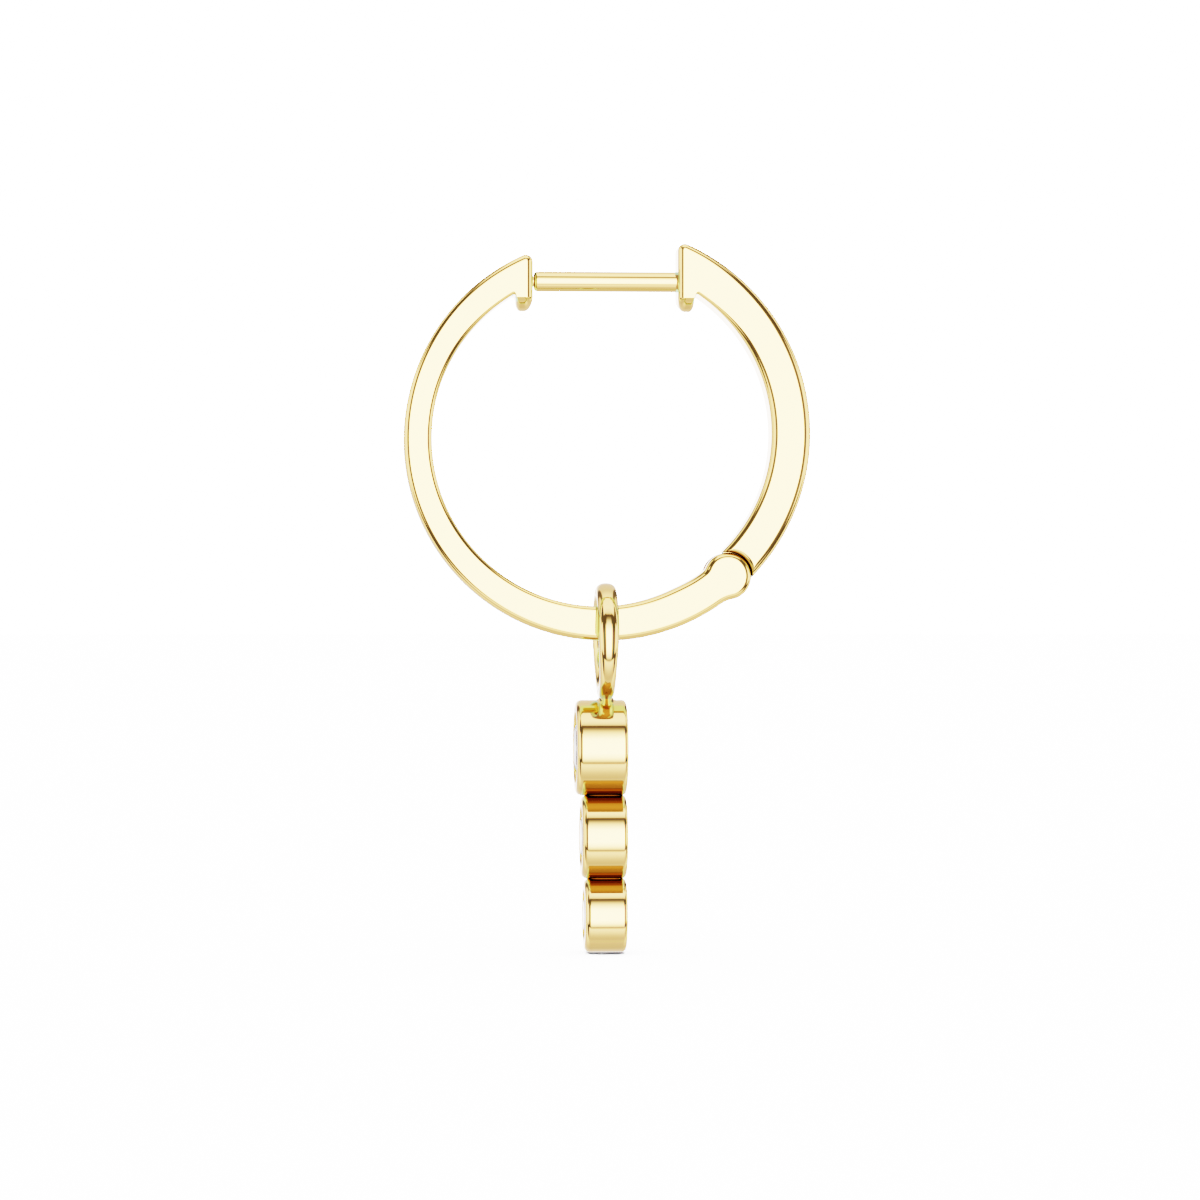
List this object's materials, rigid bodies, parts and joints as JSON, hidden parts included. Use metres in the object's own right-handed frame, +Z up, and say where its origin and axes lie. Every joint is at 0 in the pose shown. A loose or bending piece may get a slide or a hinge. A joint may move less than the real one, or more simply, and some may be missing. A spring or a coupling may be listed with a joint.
{
  "type": "hinged huggie hoop earring with charm",
  "caption": "Gold hinged huggie hoop with a straight ear post that snaps into the front arc, and a hanging drop of graduated round bezel set brilliants on a ring bail.",
  "frame": {"origin": "middle of the ear post's bare length, on the post's axis, where the earring hangs in the ear lobe", "axes": "+Z up, +X along the ear post from the latch towards the back arc, +Y across the band, in towards the head on one side and out on the other; the stones face -X"},
  "size_m": [0.014, 0.004, 0.0245],
  "materials": {
    "gold": "polished 14 karat yellow gold",
    "diamond": "clear, brilliant cut"
  },
  "bodies": {
    "back": {"back_arc": "gold"},
    "front": {"front_arc": "gold", "hinge_pin": "gold"},
    "charm": {"charm_setting": "gold", "stone_top": "diamond", "stone_middle": "diamond", "stone_bottom": "diamond"}
  },
  "joints": [
    {"name": "hoop_hinge", "type": "hinge", "parent": "back", "child": "front", "pos_m": [0.00423, 0, -0.01018], "axis": [0, -1, 0], "range_deg": [0, 60]},
    {"name": "charm_swing", "type": "hinge", "parent": "front", "child": "charm", "pos_m": [0.00004, 0, -0.0107], "axis": [0, -1, 0], "range_deg": [-50, 50]}
  ]
}
